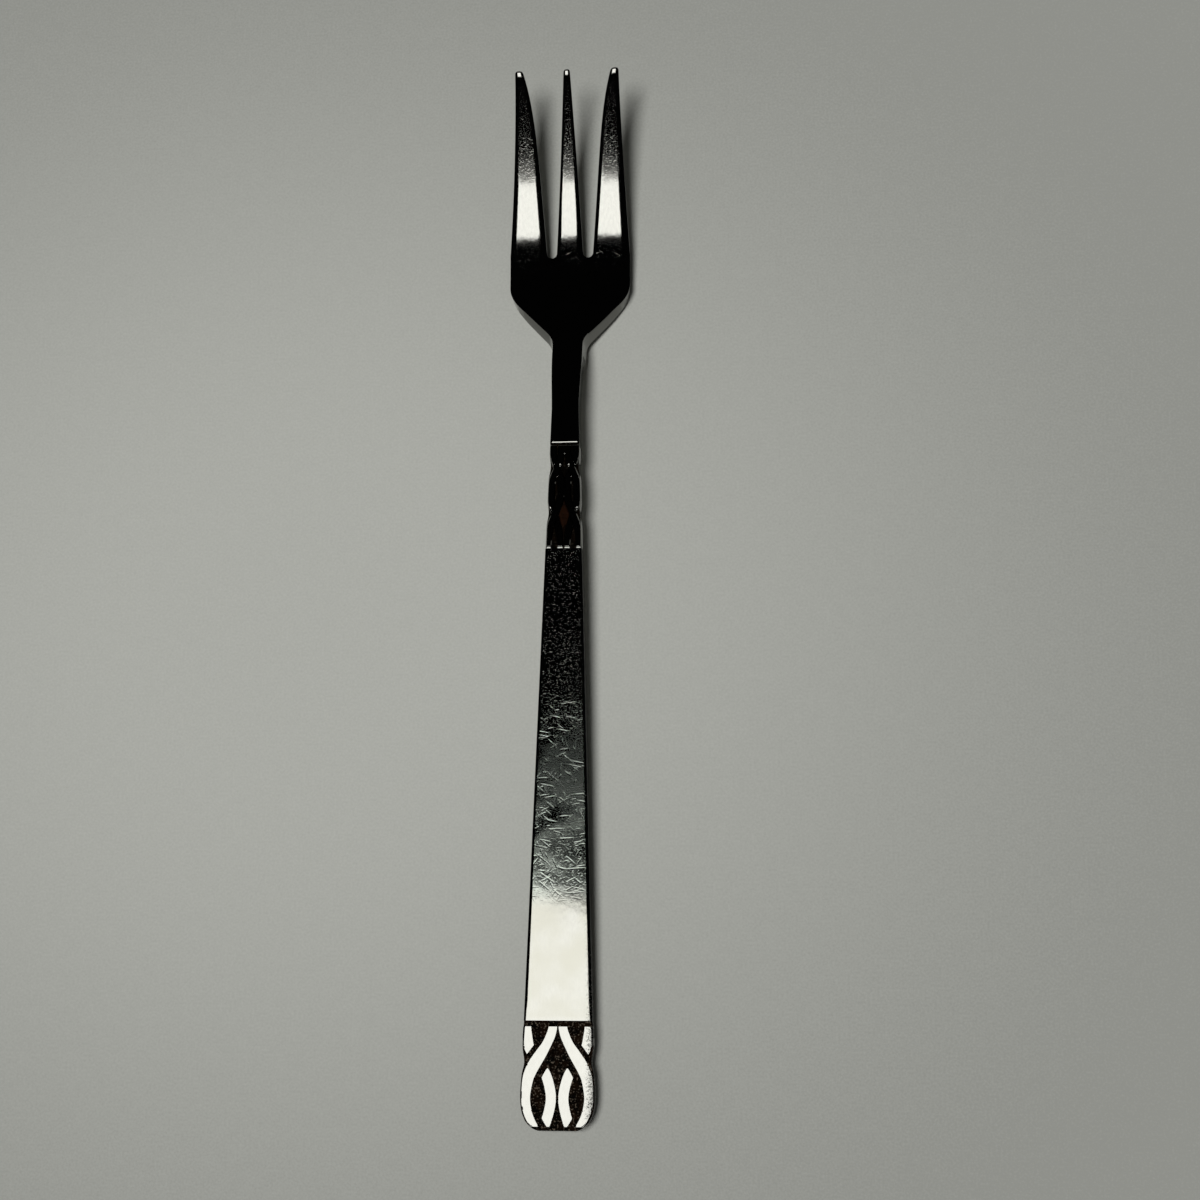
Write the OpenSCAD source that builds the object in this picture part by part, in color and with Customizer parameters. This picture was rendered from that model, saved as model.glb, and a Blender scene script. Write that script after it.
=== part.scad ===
// Oyster fork with three tines, stamped from one piece of steel.
// Two braided panels are struck into its face, and dark enamel fills their sunk ground.
// The fork lies face up on its belly and its handle end: tines to +Y, face to +Z.
// Origin: middle of the length, on the plane that the fork rests on.

/* [Lengths along the fork] */
// Tines, from tip to slot root
tine_length = 27.1; // [22:0.1:32]
// Palm, from slot root to the shoulders
palm_length = 3.4; // [2.5:0.1:6]
// Shoulders, from palm to neck
shoulder_length = 11; // [8:0.1:14]
// Plain neck, from the shoulders to the neck panel
neck_length = 14.1; // [10:0.1:20]
// Neck panel
neck_panel_length = 15.8; // [12:0.1:20]
// Plain field of the handle, between the two panels
field_length = 65.9; // [50:0.1:80]
// End panel, from the field to the end of the handle
end_panel_length = 14.7; // [12:0.1:18]

/* [Widths] */
// Head across the palm
head_width = 17.7; // [16:0.1:20]
// Outer edges of the outer tines, across the tips
tip_span = 15.3; // [14:0.1:16]
// Each outer tine at its tip
outer_tip_width = 1.05; // [0.8:0.05:1.4]
// Middle tine at its root
middle_tine_width = 3.9; // [3:0.1:4.6]
// Middle tine at its tip
middle_tip_width = 0.9; // [0.7:0.05:1.3]
// Slot between tines at its root
slot_width = 1.45; // [1:0.05:1.8]
// Neck at its narrowest
neck_width = 3.9; // [3.4:0.1:4.6]
// Handle where the field ends
handle_width = 9.48; // [8:0.02:10]
// End panel at its upper corners
corner_width = 9.8; // [8.6:0.02:10.4]
// End panel at the notch below its corners
notch_width = 9.28; // [8:0.02:9.8]
// End panel at its widest
end_width = 10.28; // [9:0.02:11.4]
// Straight edge at the very end of the handle
end_edge_width = 5.2; // [4:0.1:6]

/* [Thickness and bend] */
// Thickness at the end of the handle
end_thickness = 2.5; // [2:0.05:3]
// Thickness at the neck
neck_thickness = 3.1; // [2.6:0.05:3.6]
// Thickness at the belly of the head
head_thickness = 2.1; // [1.7:0.05:2.5]
// Thickness at the tine tips
tip_thickness = 1.1; // [0.9:0.05:1.5]
// Slope of the handle's flat face, in degrees
handle_slope = 1.5; // [0.8:0.1:2.5]
// Height of the face at the tine tips above the rest plane
tip_rise = 9.2; // [7.9:0.1:11.4]
// From the shoulders back to the lowest point of the belly
belly_setback = 0.6; // [0:0.1:4]
// From the neck panel forward to where the neck starts to bend
bend_lead = 5; // [3:0.1:7]
// From the neck panel forward to where the handle starts to widen
taper_lead = 4.6; // [2:0.1:6]
// Edge rounding on handle and neck
edge_radius = 0.25; // [0.15:0.01:0.35]
// Edge rounding on head and tines
tine_radius = 0.45; // [0.3:0.01:0.5]

/* [Relief] */
// Depth of the sunk ground in the end panel
end_relief = 0.36; // [0.25:0.01:0.5]
// Depth of the sunk ground in the neck panel
neck_relief = 0.26; // [0.2:0.01:0.35]
// How far the bands stand above the enamel
enamel_drop = 0.12; // [0.08:0.01:0.16]
// Width of the bands that pass over in the end panel, before they swell
end_over_band = 1.24; // [1:0.02:1.4]
// Width of the bands that pass under in the end panel
end_under_band = 1.38; // [1.2:0.02:1.6]
// Width of the bands in the neck panel
neck_band = 0.86; // [0.7:0.02:0.96]
// Gap outside the over bands, where a band passes under them in the end panel
end_outer_gap = 0.74; // [0.5:0.02:0.9]
// Gap inside the over bands, where a band passes under them in the end panel
end_inner_gap = 0.95; // [0.7:0.05:1.2]
// Gap where a band passes under another in the neck panel
neck_gap = 0.2; // [0.14:0.02:0.26]
// Sunk line across the top of the end panel
end_groove = 0.8; // [0.5:0.05:1.1]
// Sunk lines across both ends of the neck panel
neck_groove = 0.3; // [0.2:0.05:0.5]
// How far the edges of the neck draw in beside each crossing of its braid
neck_notch = 0.2; // [0:0.02:0.3]
// Slant of the cut ends of the under bands in the end panel, in degrees
tuck_angle = 46; // [30:1:60]
// Sunk rim between the bands and the end of the handle
end_rim = 0.55; // [0.4:0.05:0.8]

/* [Hidden] */

steel = [0.78, 0.78, 0.77];
enamel = [0.13, 0.09, 0.07];

// How far a cut runs past what it cuts
overrun = 1;

// Stations along Y
overall_length = tine_length + palm_length + shoulder_length + neck_length
    + neck_panel_length + field_length + end_panel_length;
tip_y = overall_length / 2;
root_y = tip_y - tine_length;
shoulder_y = root_y - palm_length;
neck_y = shoulder_y - shoulder_length;
neck_panel_y = neck_y - neck_length;
field_y = neck_panel_y - neck_panel_length;
end_panel_y = field_y - field_length;
end_y = end_panel_y - end_panel_length;
belly_y = shoulder_y - belly_setback;
bend_y = neck_panel_y + bend_lead;
taper_y = neck_panel_y + taper_lead;

// Half widths of the middle tine and places of the slots at their roots
middle_half = middle_tine_width / 2;
slot_half = slot_width / 2;
slot_x = middle_half + slot_half;
slot_y = root_y + slot_half;

// Shares that shape the curves: how late the shoulder swells, how fast the tines
// turn up, and how much of the taper of an outer tine is straight
shoulder_share = 1.03;
upturn_share = 1.45;
ease_share = 1.5;
straight_share = 0.64;
point_share = 6;

// Outline of the end panel below its notch: shares of its length and of its widest half width
bulge_shares = [
    [0.5, 0.969], [0.687, 1], [0.82, 0.963], [0.91, 0.862], [0.957, 0.745], [0.985, 0.63]
];
// Places of the upper corners and the notch, as shares of the panel's length
corner_share = 0.23;
notch_share = 0.378;

// Middle lines of the bands: shares of the local half width, then of the panel's length from its top,
// and of the band's width where it swells
end_over_shares = [
    [0.135, 0, 0.94], [0.137, 0.066, 0.94], [0.191, 0.135, 1], [0.305, 0.222, 1.02], [0.46, 0.31, 1.23],
    [0.62, 0.397, 1.33], [0.727, 0.472, 1.27], [0.79, 0.54, 1.17], [0.843, 0.69, 1], [0.8, 0.81, 0.94],
    [0.696, 0.905, 0.84], [0.53, 1, 0.75], [0.36, 1.07, 0.7]
];
end_under_shares = [
    [0.85, 0], [0.849, 0.07], [0.817, 0.15], [0.74, 0.26], [0.45, 0.42], [0.305, 0.497],
    [0.205, 0.605], [0.165, 0.71], [0.205, 0.81], [0.275, 0.9], [0.36, 1]
];
neck_first_shares = [
    [0.22, 0], [0.22, 0.13], [0.5, 0.265], [0.75, 0.365], [0.79, 0.47],
    [0.75, 0.58], [0.5, 0.7], [0.27, 0.84], [0.2, 0.93], [0.2, 1]
];
neck_second_shares = [
    [0.78, 0], [0.76, 0.12], [0.5, 0.24], [0.25, 0.34], [0.2, 0.44],
    [0.22, 0.54], [0.5, 0.67], [0.75, 0.78], [0.8, 0.88], [0.8, 1]
];
// Where the under bands of the end panel start to hide, and where their slanted ends would meet
tuck_shares = [0.33, 0.337];
// Where one crossing hands over to the next on the neck
handover_share = 0.47;
// Places and reach of the notches beside the crossings on the neck
crossing_shares = [0.24, 0.67];
reach_share = 0.12;

// Steps of a curve between two of its points
curve_steps = 6;

// Eases from 0 to 1 with no slope at either end
function ease(t) = let (u = max(0, min(1, t))) u * u * (3 - 2 * u);

function mix(a, b, t) = a + (b - a) * t;

// Curve from height a with slope sa to height b with slope sb over a length
function hermite(a, sa, b, sb, length, t) =
    (2 * t ^ 3 - 3 * t ^ 2 + 1) * a + (t ^ 3 - 2 * t ^ 2 + t) * length * sa
    + (3 * t ^ 2 - 2 * t ^ 3) * b + (t ^ 3 - t ^ 2) * length * sb;

// Smooth curve through points, passing each one
function knot(p, i) = p[max(0, min(len(p) - 1, i))];
function spline_point(p, i, t) =
    let (a = knot(p, i - 1), b = knot(p, i), c = knot(p, i + 1), d = knot(p, i + 2))
    (2 * b + (c - a) * t + (2 * a - 5 * b + 4 * c - d) * t ^ 2 + (3 * b - a - 3 * c + d) * t ^ 3) / 2;
function spline(p) = [
    for (i = [0:len(p) - 2], k = [0:curve_steps - 1]) spline_point(p, i, k / curve_steps),
    p[len(p) - 1]
];

// Reads a curve of [place, value] points at a place
function read(p, x) =
    let (hits = [for (i = [0:len(p) - 2]) if (p[i][0] <= x && x <= p[i + 1][0]) i], i = hits[0])
    mix(p[i][1], p[i + 1][1], (x - p[i][0]) / (p[i + 1][0] - p[i][0]));

// Height of the face, and the steel's thickness below it
face_slope = tan(handle_slope);
bend_z = end_thickness + face_slope * (bend_y - end_y);
bend_length = belly_y - bend_y;
function face(y) =
    y <= bend_y ? end_thickness + face_slope * (y - end_y)
    : y <= belly_y
        ? hermite(bend_z, face_slope, head_thickness, 0, bend_length, (y - bend_y) / bend_length)
        : mix(head_thickness, tip_rise, ((y - belly_y) / (tip_y - belly_y)) ^ upturn_share);
function thickness(y) =
    y <= bend_y ? mix(end_thickness, neck_thickness, (y - end_y) / (bend_y - end_y))
    : y <= belly_y ? mix(neck_thickness, head_thickness, ease((y - bend_y) / bend_length))
    : mix(head_thickness, tip_thickness, ease((y - belly_y) / (tip_y - belly_y)));
// Step along Y from a point of the face to the point square below it. The straight handle has
// none, and it fades out towards the tips.
grade_step = 0.01;
function grade(y) = (face(y + grade_step) - face(y - grade_step)) / (2 * grade_step);
function lean(y) =
    grade(y) * thickness(y) * ease((tip_y - y) / tine_length) * ease((y - neck_panel_y) / neck_length);
function rounding(y) = mix(edge_radius, tine_radius, ease((y - neck_y) / (root_y - neck_y)));

// Half width of the handle, neck and palm
end_outline = spline(concat(
    [[0, handle_width / 2], [corner_share, corner_width / 2], [notch_share, notch_width / 2]],
    [for (s = bulge_shares) [s[0], s[1] * end_width / 2]],
    [[1, end_edge_width / 2]]
));
function taper_half(y) = mix(handle_width, neck_width, (y - end_panel_y) / (taper_y - end_panel_y)) / 2;
function notch(y, s) = neck_notch * (1 - ease(abs((neck_panel_y - y) / neck_panel_length - s) / reach_share));
function half_width(y) =
    y < end_panel_y ? read(end_outline, min(1, (end_panel_y - y) / end_panel_length))
    : y < taper_y ? taper_half(y) - notch(y, crossing_shares[0]) - notch(y, crossing_shares[1])
    : mix(neck_width, head_width, ease(max(0, (y - neck_y) / shoulder_length) ^ shoulder_share)) / 2;

// Edges of the tines: how far along a tine, then its two edges
function along(y) = max(0, min(1, (y - slot_y) / (tip_y - slot_y)));
function outer_edge(y) = mix(tip_span, head_width, (1 - along(y)) ^ ease_share) / 2;
function inner_edge(y) =
    let (t = along(y), s = straight_share * t + (1 - straight_share) * t ^ point_share)
    mix(slot_x + slot_half, tip_span / 2 - outer_tip_width, s);
function middle_edge(y) = mix(middle_tine_width, middle_tip_width, along(y)) / 2;
function tine_edges(lane, y) =
    lane == 0 ? [-outer_edge(y), -inner_edge(y)]
    : lane == 1 ? [-middle_edge(y), middle_edge(y)]
    : [inner_edge(y), outer_edge(y)];

// The blank is one sheet of cells in columns and rows. Three lanes of columns become the
// tines, and the columns between them stop at the slot roots.
lane_cells = 5;
slot_cells = 4;
period = lane_cells + slot_cells;
columns = 3 * lane_cells + 2 * slot_cells + 1;
near_share = 0.3;
function slot_cell(c) = c % period >= lane_cells;

// Columns across a tine sit close to its edges, where the rounding is
function tine_x(lane, k, y) =
    let (e = tine_edges(lane, y), w = e[1] - e[0], r = min(rounding(y), w * (1 - near_share) / 2))
    [e[0], e[0] + near_share * r, e[0] + r, e[1] - r, e[1] - near_share * r, e[1]][k];
// Columns across a slot at its root
function slot_column(side, k) = side * slot_x - slot_half * cos(180 * k / slot_cells);
function root_x(c) =
    let (lane = floor(c / period), k = c % period)
    k <= lane_cells ? tine_x(lane, k, slot_y) : slot_column(2 * lane - 1, k - lane_cells);
// Columns behind the slots keep their places across the width, but for those at the outer edges
function palm_x(c, y) =
    let (h = half_width(y), r = rounding(y), edge = [0, near_share * r, r], m = min(c, columns - 1 - c))
    m < len(edge) ? sign(c - columns / 2) * (h - edge[m])
    : root_x(c) / root_x(columns - 3) * (h - r);

// Rows: the end panel, the neck panel, the bend, the palm, three round the slot roots, the tines
end_rows = 26;
neck_rows = 14;
bend_rows = 20;
palm_rows = 4;
tine_rows = 14;
row_share = 1.6;
last_palm_y = root_y - tine_radius;
root_steps = [tine_radius, near_share * tine_radius, 0];
rows = concat(
    [for (i = [0:end_rows]) end_y + end_panel_length * (i / end_rows) ^ row_share],
    [for (i = [0:neck_rows]) mix(field_y, neck_panel_y, i / neck_rows)],
    [bend_y],
    [for (i = [1:bend_rows]) mix(bend_y, shoulder_y, i / bend_rows)],
    [for (i = [1:palm_rows]) mix(shoulder_y, last_palm_y - tine_radius, i / palm_rows)],
    [for (s = root_steps) slot_y - s],
    [for (i = [1:tine_rows - 1]) mix(slot_y, tip_y, (i / tine_rows))],
    [tip_y - tine_radius, tip_y - near_share * tine_radius, tip_y]
);
bend_row = end_rows + 1 + neck_rows + 1;
root_row = bend_row + bend_rows + palm_rows + len(root_steps);

// Rows next to the slot roots bow back round them
function bow(c, r) =
    slot_cell(c) && c % period > lane_cells && r > root_row - len(root_steps)
        ? -sqrt(max(0, slot_half ^ 2 - (abs(root_x(c)) - slot_x) ^ 2)) : 0;
function cell_y(c, r) = rows[r] + bow(c, r);
function cell_x(c, r) =
    r < root_row ? palm_x(c, rows[r])
    : c % period <= lane_cells ? tine_x(floor(c / period), c % period, rows[r]) : root_x(c);

// Distance from a point of the sheet to its nearest edge. Edges along a slot start sharp at its root.
function edge_clear(c, r) =
    let (x = cell_x(c, r), y = cell_y(c, r))
    r < root_row ? min(half_width(y) - abs(x), y - end_y)
    : slot_cell(c) && c % period > lane_cells ? tine_radius
    : let (
        e = tine_edges(floor(c / period), y),
        k = ease((y - slot_y) / slot_width),
        left = mix(tine_radius, x - e[0], x < -slot_x ? 1 : k),
        right = mix(tine_radius, e[1] - x, x > slot_x ? 1 : k)
    ) min(left, right, tip_y - y);
function round_drop(c, r) =
    let (b = rounding(rows[r]), d = max(0, edge_clear(c, r)))
    d < b ? b - sqrt(b ^ 2 - (b - d) ^ 2) : 0;

function sheet_point(c, r, below) =
    let (y = cell_y(c, r), drop = round_drop(c, r))
    below ? [cell_x(c, r), y + lean(y), face(y) - thickness(y) + drop]
    : [cell_x(c, r), y, face(y) - drop];

// Sheet between two rows as a closed solid
module sheet(first, last) {
    count = (last - first + 1) * columns;
    function at(c, r, below) = (r - first) * columns + c + (below ? count : 0);
    function filled(c, r) =
        r >= first && r < last && c >= 0 && c < columns - 1 && (r < root_row || !slot_cell(c));
    // Four sides of a cell: the step to the neighbour, then the side's two ends
    function sides(c, r) = [
        [-1, 0, [c, r + 1], [c, r]], [1, 0, [c + 1, r], [c + 1, r + 1]],
        [0, 1, [c + 1, r + 1], [c, r + 1]], [0, -1, [c, r], [c + 1, r]]
    ];
    quads = [
        for (r = [first:last - 1], c = [0:columns - 2]) if (filled(c, r)) each [
            [at(c, r, false), at(c, r + 1, false), at(c + 1, r + 1, false), at(c + 1, r, false)],
            [at(c, r, true), at(c + 1, r, true), at(c + 1, r + 1, true), at(c, r + 1, true)],
            for (s = sides(c, r)) if (!filled(c + s[0], r + s[1])) [
                at(s[2][0], s[2][1], false), at(s[3][0], s[3][1], false),
                at(s[3][0], s[3][1], true), at(s[2][0], s[2][1], true)
            ]
        ]
    ];
    polyhedron(
        points = [
            for (below = [false, true], r = [first:last], c = [0:columns - 1]) sheet_point(c, r, below)
        ],
        faces = [for (q = quads) each [[q[0], q[1], q[2]], [q[0], q[2], q[3]]]],
        convexity = 6
    );
}

// Frame of the flat face: x across, y along the handle from its end, z out of the steel
module on_face() {
    translate([0, end_y, end_thickness]) rotate([handle_slope, 0, 0]) children();
}

// Middle line of a band in that frame, with the share of the band's width at each point
function band_line(shares, top, length, half) = spline([
    for (s = shares) let (y = top - s[1] * length, h = half > 0 ? half : taper_half(end_y + y))
        [s[0] * h, y, len(s) > 2 ? s[2] : 1]
]);
// Point of a band's outline beside its line, at half its width and a gap
function band_point(p, i, side, w, gap) =
    let (a = knot(p, i - 1), b = knot(p, i + 1), d = [b[0] - a[0], b[1] - a[1]])
    [p[i][0], p[i][1]] + side * [d[1], -d[0]] / norm(d) * (p[i][2] * w / 2 + gap);
// Band and its mirror image, widened by a gap on each side
module band_pair(line, w, inner_gap = 0, outer_gap = 0) {
    last = len(line) - 1;
    outline = concat(
        [for (i = [0:last]) band_point(line, i, 1, w, inner_gap)],
        [for (i = [last:-1:0]) band_point(line, i, -1, w, outer_gap)]
    );
    polygon(outline);
    mirror([1, 0]) polygon(outline);
}
// Strip across the handle between two distances from its end
module strip(low, high) {
    translate([-end_width, low]) square([2 * end_width, high - low]);
}

// Where the under bands of the end panel are tucked away, down to their slanted ends
module end_tuck() {
    high = end_panel_length * (1 - tuck_shares[0]);
    peak = end_panel_length * (1 - tuck_shares[1]);
    low = peak - end_width * tan(tuck_angle);
    polygon([[0, peak], [end_width, low], [end_width, high], [-end_width, high], [-end_width, low]]);
}
// Braid of the end panel: one pair of bands passes over the other
end_over = band_line(end_over_shares, end_panel_length, end_panel_length, end_width / 2);
end_under = band_line(end_under_shares, end_panel_length, end_panel_length, end_width / 2);
module end_bands() {
    intersection() {
        strip(end_rim, end_panel_length - end_groove);
        union() {
            band_pair(end_over, end_over_band);
            difference() {
                band_pair(end_under, end_under_band);
                end_tuck();
                band_pair(end_over, end_over_band, end_inner_gap, end_outer_gap);
            }
        }
    }
}
module end_ground() {
    difference() {
        strip(-overrun, end_panel_length);
        end_bands();
    }
}

// Braid of the neck panel: the pairs take turns to pass over each other
neck_top = neck_panel_y - end_y;
neck_low = field_y - end_y;
neck_turn = neck_top - handover_share * neck_panel_length;
neck_first = band_line(neck_first_shares, neck_top, neck_panel_length, 0);
neck_second = band_line(neck_second_shares, neck_top, neck_panel_length, 0);
module neck_bands() {
    intersection() {
        strip(neck_low + neck_groove, neck_top - neck_groove);
        union() {
            difference() {
                band_pair(neck_first, neck_band);
                intersection() {
                    strip(neck_low, neck_turn);
                    band_pair(neck_second, neck_band, neck_gap, neck_gap);
                }
            }
            difference() {
                band_pair(neck_second, neck_band);
                intersection() {
                    strip(neck_turn, neck_top);
                    band_pair(neck_first, neck_band, neck_gap, neck_gap);
                }
            }
        }
    }
}
module neck_ground() {
    difference() {
        strip(neck_low, neck_top);
        neck_bands();
    }
}

// Stamped steel blank with both panels struck into it
module steel_fork() {
    color(steel) difference() {
        sheet(0, len(rows) - 1);
        on_face() translate([0, 0, -end_relief]) linear_extrude(end_relief + overrun) end_ground();
        on_face() translate([0, 0, -neck_relief]) linear_extrude(neck_relief + overrun) neck_ground();
    }
}

// Enamel in the ground of the end panel
module end_panel_enamel() {
    color(enamel) intersection() {
        sheet(0, end_rows + 1);
        on_face() translate([0, 0, -end_relief]) linear_extrude(end_relief - enamel_drop) end_ground();
    }
}

// Enamel in the ground of the neck panel
module neck_panel_enamel() {
    color(enamel) intersection() {
        sheet(end_rows, bend_row);
        on_face() translate([0, 0, -neck_relief]) linear_extrude(neck_relief - enamel_drop) neck_ground();
    }
}

steel_fork();
end_panel_enamel();
neck_panel_enamel();
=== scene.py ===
import math

import bmesh
import bpy
import numpy as np
from mathutils import Matrix, Vector, noise


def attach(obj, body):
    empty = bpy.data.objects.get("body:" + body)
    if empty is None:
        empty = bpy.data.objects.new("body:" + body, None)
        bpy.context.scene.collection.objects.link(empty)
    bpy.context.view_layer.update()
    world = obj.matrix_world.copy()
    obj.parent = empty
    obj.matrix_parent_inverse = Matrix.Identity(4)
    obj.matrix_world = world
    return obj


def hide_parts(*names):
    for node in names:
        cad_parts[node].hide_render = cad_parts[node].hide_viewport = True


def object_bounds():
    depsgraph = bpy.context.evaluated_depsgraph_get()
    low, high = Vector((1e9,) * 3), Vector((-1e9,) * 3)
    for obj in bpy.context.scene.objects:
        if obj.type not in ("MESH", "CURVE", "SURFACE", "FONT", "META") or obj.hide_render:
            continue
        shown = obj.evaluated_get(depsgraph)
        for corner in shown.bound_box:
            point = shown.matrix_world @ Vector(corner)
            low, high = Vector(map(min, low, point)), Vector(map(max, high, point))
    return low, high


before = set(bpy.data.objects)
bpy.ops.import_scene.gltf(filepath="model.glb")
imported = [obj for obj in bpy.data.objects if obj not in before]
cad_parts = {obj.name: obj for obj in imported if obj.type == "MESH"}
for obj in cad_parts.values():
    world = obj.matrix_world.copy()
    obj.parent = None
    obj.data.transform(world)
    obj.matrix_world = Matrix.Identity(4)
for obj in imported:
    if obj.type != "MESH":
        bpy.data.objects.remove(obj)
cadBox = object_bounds()
scene = bpy.context.scene
scene.view_settings.view_transform = "Standard"
mm = 0.001

# Sizes in mm, as on the solid. The fork lies face up, tines to +Y.
fork = {
    "tine": 27.1, "palm": 3.4, "shoulder": 11.0, "neck": 14.1,
    "neckPanel": 15.8, "field": 65.9, "endPanel": 14.7,
    "headWidth": 17.7, "tipSpan": 15.3, "outerTip": 1.05,
    "middleTine": 3.9, "middleTip": 0.9, "slot": 1.45,
    "neckWidth": 3.9, "handleWidth": 9.48, "cornerWidth": 9.8,
    "notchWidth": 9.28, "endWidth": 10.28, "endEdge": 5.2,
    "endThick": 2.5, "neckThick": 3.1, "headThick": 2.1, "tipThick": 1.1,
    "slope": 1.5, "tipRise": 9.16, "belly": 0.6, "bendLead": 5.0, "taperLead": 4.6,
    "upturn": 1.45, "outerEase": 1.5,
    "straight": 0.64, "point": 6.0, "neckNotch": 0.2, "notchReach": 0.12, "notches": (0.24, 0.67),
    "endRound": 0.24, "fieldRound": 0.36, "neckRound": 0.28, "tineRound": 0.55,
    "endBlend": (-1.0, 1.5), "fieldBlend": (-1.5, 0.5),
    "middleRound": 0.38, "middleRun": 8.0, "roundShare": 0.46, "tipShare": 0.28, "tipRun": 5.0,
    "broken": 45.0, "rimWall": 0.06, "undercutRun": 6.0, "undercutLead": 0.6,
    "tipCap": 0.5, "tipFront": 0.25, "tipBlunt": 0.12, "tipRoll": 1.6, "rollRadius": 11.6,
    "neckSwell": 0.5, "swellRun": 9.0, "flare": (0.95, 1.92), "corner": (7.23, 3.07),
    "wave": 0.00064, "waveY": -44.0, "waveReach": 7.0,
    "draft": 0.33, "draftRun": 4.0, "draftLead": 0.8, "draftStop": 1.5, "sharp": 38,
}

tipY = sum(fork[k] for k in ("tine", "palm", "shoulder", "neck", "neckPanel", "field", "endPanel")) / 2
rootY = tipY - fork["tine"]
shoulderY = rootY - fork["palm"]
neckY = shoulderY - fork["shoulder"]
neckPanelY = neckY - fork["neck"]
fieldY = neckPanelY - fork["neckPanel"]
endPanelY = fieldY - fork["field"]
endY = endPanelY - fork["endPanel"]
bellyY = shoulderY - fork["belly"]
bendY = neckPanelY + fork["bendLead"]
taperY = neckPanelY + fork["taperLead"]
slotHalf = fork["slot"] / 2
slotX = fork["middleTine"] / 2 + slotHalf
slotY = rootY + slotHalf
faceSlope = math.tan(math.radians(fork["slope"]))
brokenTurn = math.radians(fork["broken"])
brokenSin, brokenCos = math.sin(brokenTurn), math.cos(brokenTurn)


def ease(t):
    t = np.clip(t, 0, 1)
    return t * t * (3 - 2 * t)


def mix(a, b, t):
    return a + (b - a) * t


def ramp(d, run):  # a straight rise that starts with a curve
    d = np.maximum(d, 0)
    return np.where(d < run, d * d / (2 * run), d - run / 2)


def gradeOf(curve, y, step=0.01):
    return (curve(y + step) - curve(y - step)) / (2 * step)


def spline(points, steps=8):  # smooth curve through every point
    p = np.array(points, float)
    p = np.vstack([p[:1], p, p[-1:]])
    t = (np.arange(steps) / steps)[:, None]
    runs = []
    for a, b, c, d in zip(p, p[1:], p[2:], p[3:]):
        runs.append((2 * b + (c - a) * t + (2 * a - 5 * b + 4 * c - d) * t ** 2
                     + (3 * b - a - 3 * c + d) * t ** 3) / 2)
    return np.vstack(runs + [p[-1:]])


# Side view: height of the face and the steel's thickness below it
def faceZ(y):
    y = np.asarray(y, float)
    straight = fork["endThick"] + faceSlope * (y - endY)
    bendZ = fork["endThick"] + faceSlope * (bendY - endY)
    run = bellyY - bendY
    t = np.clip((y - bendY) / run, 0, 1)
    bend = ((2 * t ** 3 - 3 * t ** 2 + 1) * bendZ + (t ** 3 - 2 * t ** 2 + t) * run * faceSlope
            + (3 * t ** 2 - 2 * t ** 3) * fork["headThick"])
    u = np.clip((y - bellyY) / (tipY - bellyY), 0, 1)
    upturned = mix(fork["headThick"], fork["tipRise"], u ** fork["upturn"])
    return np.where(y <= bendY, straight, np.where(y <= bellyY, bend, upturned))


def steelThick(y):
    y = np.asarray(y, float)
    handle = mix(fork["endThick"], fork["neckThick"], (y - endY) / (bendY - endY))
    bend = mix(fork["neckThick"], fork["headThick"], ease((y - bendY) / (bellyY - bendY)))
    head = mix(fork["headThick"], fork["tipThick"], ease((y - bellyY) / (tipY - bellyY)))
    return np.where(y <= bendY, handle, np.where(y <= bellyY, bend, head))


def wave(x, y):  # a trace of unevenness from polishing the handle's field
    d = y - fork["waveY"]
    return fork["wave"] * x * d * np.exp(-(d / fork["waveReach"]) ** 2)


def lean(y):  # keeps the side walls square to the face where it bends
    fade = ease((tipY - y) / fork["tine"]) * ease((y - neckPanelY) / fork["neck"])
    return gradeOf(faceZ, y) * steelThick(y) * fade


# Width of the rounded edge in plan
def bodyRound(y):
    places = [endPanelY + d for d in fork["endBlend"]] + [fieldY + d for d in fork["fieldBlend"]]
    places += [neckY, rootY]
    sizes = [fork[k + "Round"] for k in ("end", "field", "field", "neck", "neck", "tine")]
    return np.interp(y, places, sizes)


def roundWidth(x, y):
    middle = mix(fork["tineRound"], fork["middleRound"], ease((y - slotY) / fork["middleRun"]))
    onTine = np.where(np.abs(x) < betweenTines(y), middle, fork["tineRound"])
    nearTip = ease((y - tipY + fork["tipRun"]) / fork["tipRun"])
    share = mix(fork["roundShare"], fork["tipShare"], nearTip)  # the tips keep a flat
    return np.where(y < slotY, bodyRound(y), np.minimum(onTine, share * tineWidth(x, y)))


# Plan: half widths and the edges of the tines
endOutline = spline(
    [(0, fork["handleWidth"] / 2), (0.23, fork["cornerWidth"] / 2), (0.378, fork["notchWidth"] / 2)]
    + [(s, w * fork["endWidth"] / 2) for s, w in (
        (0.5, 0.969), (0.687, 1), (0.82, 0.963), (0.91, 0.862), (0.957, 0.745), (0.985, 0.63))]
    + [(1, fork["endEdge"] / 2)])


def taperHalf(y):
    return mix(fork["handleWidth"], fork["neckWidth"], (y - endPanelY) / (taperY - endPanelY)) / 2


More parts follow.
